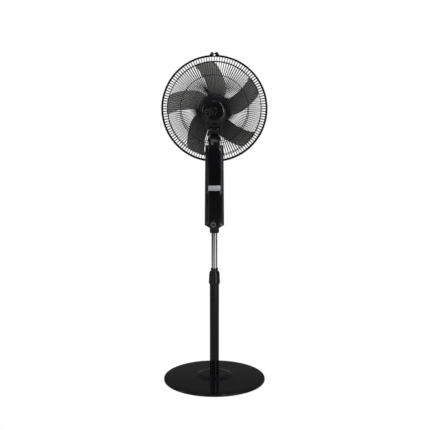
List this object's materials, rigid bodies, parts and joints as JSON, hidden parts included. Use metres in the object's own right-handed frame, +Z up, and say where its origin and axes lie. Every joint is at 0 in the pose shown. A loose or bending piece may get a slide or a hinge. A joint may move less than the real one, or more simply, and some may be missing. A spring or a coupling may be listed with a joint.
{
  "type": "pedestal fan",
  "caption": "Black pedestal fan with a round weighted base, telescopic pole, control column and a caged, tilting and swinging head.",
  "frame": {"origin": "centre of the round base on the floor", "axes": "+Z up, -Y is the side the air leaves, +Y the motor's back, +X to the left when seen from behind"},
  "size_m": [0.44, 0.426, 1.365],
  "materials": {
    "black_gloss_plastic": "injection moulded black housing plastic, polished tool",
    "black_satin_plastic": "moulded black plastic, fine spark texture",
    "black_wire": "black powder coated steel wire",
    "black_tube": "gloss black painted steel tube",
    "chrome_tube": "chrome plated steel tube",
    "smoked_blade": "smoke grey translucent AS plastic",
    "bright_screw": "zinc plated steel",
    "shaft_steel": "ground steel",
    "weight_iron": "cast iron",
    "copper_wire": "enamelled copper winding",
    "bronze_bush": "sintered bronze",
    "foot_rubber": "black rubber",
    "silver_label": "blank silver film label",
    "grey_gland": "grey moulded nylon",
    "white_nylon": "natural nylon gear",
    "die_cast": "die cast aluminium",
    "silver_key": "silver painted key cap"
  },
  "bodies": {
    "stand": {"base_cover": "black_gloss_plastic", "base_weight": "weight_iron", "base_cover_screws": "bright_screw", "base_feet": "foot_rubber", "tube_socket": "black_satin_plastic", "base_bolt": "bright_screw", "outer_tube": "black_tube", "collar_bush": "black_gloss_plastic"},
    "height_nut": {"height_lock_nut": "black_gloss_plastic"},
    "mast": {"inner_tube": "chrome_tube", "tube_slider": "black_satin_plastic", "column_socket": "black_gloss_plastic", "column_front_shell": "black_gloss_plastic", "column_back_cover": "black_gloss_plastic", "column_screws": "bright_screw", "cord_gland": "grey_gland", "rating_label": "silver_label", "control_panel": "black_gloss_plastic", "switch_block": "black_satin_plastic", "timer_body": "black_satin_plastic", "capacitor": "black_satin_plastic", "neck_yoke": "black_satin_plastic", "neck_cover": "black_gloss_plastic", "tilt_bolt": "bright_screw", "tilt_nut": "bright_screw"},
    "key_off": {"button_off": "silver_key"},
    "key_low": {"button_low": "silver_key"},
    "key_medium": {"button_medium": "silver_key"},
    "key_high": {"button_high": "silver_key"},
    "timer": {"timer_knob": "black_satin_plastic"},
    "neck": {"tilt_block": "black_satin_plastic", "tilt_block_cover": "black_satin_plastic", "neck_screws": "bright_screw", "pivot_pin": "shaft_steel", "swing_link": "black_satin_plastic"},
    "head": {"gearbox_housing": "die_cast", "gearbox_cover": "die_cast", "motor_front_cover": "black_gloss_plastic", "motor_rear_cover": "black_gloss_plastic", "stator_core": "shaft_steel", "stator_windings": "copper_wire", "motor_bolts": "bright_screw", "shaft_bushes": "bronze_bush", "front_end_bell": "die_cast", "rear_end_bell": "die_cast", "rear_guard": "black_wire", "guard_nut": "black_satin_plastic", "front_guard": "black_wire", "guard_ring": "black_satin_plastic", "guard_ring_screw": "bright_screw", "front_badge": "black_gloss_plastic"},
    "rotor": {"rotor": "shaft_steel", "motor_shaft": "shaft_steel", "worm": "shaft_steel", "blade": "smoked_blade", "spinner": "black_satin_plastic"},
    "wheel": {"worm_wheel": "white_nylon"},
    "clutch": {"clutch_shaft": "shaft_steel"},
    "crank": {"crank_gear": "white_nylon"},
    "swing_knob": {"clutch_knob": "black_gloss_plastic"}
  },
  "joints": [
    {"name": "height_lock_turn", "type": "hinge", "parent": "stand", "child": "height_nut", "pos_m": [0, 0, 0.44], "axis": [0, 0, 1], "range_deg": [0, 120]},
    {"name": "height_slide", "type": "slide", "parent": "stand", "child": "mast", "axis": [0, 0, 1], "range_m": [-0.14, 0.17]},
    {"name": "off_press", "type": "slide", "parent": "mast", "child": "key_off", "axis": [0, 1, 0], "range_m": [0, 0.004], "stiffness_N_per_m": 400, "springref_m": -0.002},
    {"name": "low_press", "type": "slide", "parent": "mast", "child": "key_low", "axis": [0, 1, 0], "range_m": [0, 0.004], "stiffness_N_per_m": 400, "springref_m": -0.002},
    {"name": "medium_press", "type": "slide", "parent": "mast", "child": "key_medium", "axis": [0, 1, 0], "range_m": [0, 0.004], "stiffness_N_per_m": 400, "springref_m": -0.002},
    {"name": "high_press", "type": "slide", "parent": "mast", "child": "key_high", "axis": [0, 1, 0], "range_m": [0, 0.004], "stiffness_N_per_m": 400, "springref_m": -0.002},
    {"name": "timer_turn", "type": "hinge", "parent": "mast", "child": "timer", "pos_m": [0, -0.04, 0.88], "axis": [0, -1, 0], "range_deg": [0, 300]},
    {"name": "tilt", "type": "hinge", "parent": "mast", "child": "neck", "pos_m": [0, 0, 1.035], "axis": [1, 0, 0], "range_deg": [-20, 10]},
    {"name": "head_swing", "type": "hinge", "parent": "neck", "child": "head", "pos_m": [0, 0, 1.09], "axis": [0, 0, 1], "range_deg": [-40, 40]},
    {"name": "rotor_spin", "type": "hinge", "parent": "head", "child": "rotor", "pos_m": [0, 0, 1.133], "axis": [0, 1, 0], "continuous": true},
    {"name": "worm_wheel_spin", "type": "hinge", "parent": "head", "child": "wheel", "pos_m": [0.02, 0.03631, 1.133], "axis": [0, 0, 1], "continuous": true},
    {"name": "clutch_shaft_turn", "type": "hinge", "parent": "head", "child": "clutch", "pos_m": [0.02, 0.03631, 1.1], "axis": [0, 0, 1], "range_deg": [-130, 130]},
    {"name": "crank_turn", "type": "hinge", "parent": "head", "child": "crank", "pos_m": [0, 0.026, 1.1], "axis": [0, 0, 1], "range_deg": [-33, 33]},
    {"name": "swing_knob_press", "type": "slide", "parent": "clutch", "child": "swing_knob", "axis": [0, 0, 1], "range_m": [-0.005, 0]}
  ],
  "couplings": [
    {"joint": "worm_wheel_spin", "follows": "rotor_spin", "ratio": 0.033333},
    {"joint": "crank_turn", "follows": "head_swing", "ratio": 0.8},
    {"joint": "clutch_shaft_turn", "follows": "head_swing", "ratio": -3.2}
  ]
}
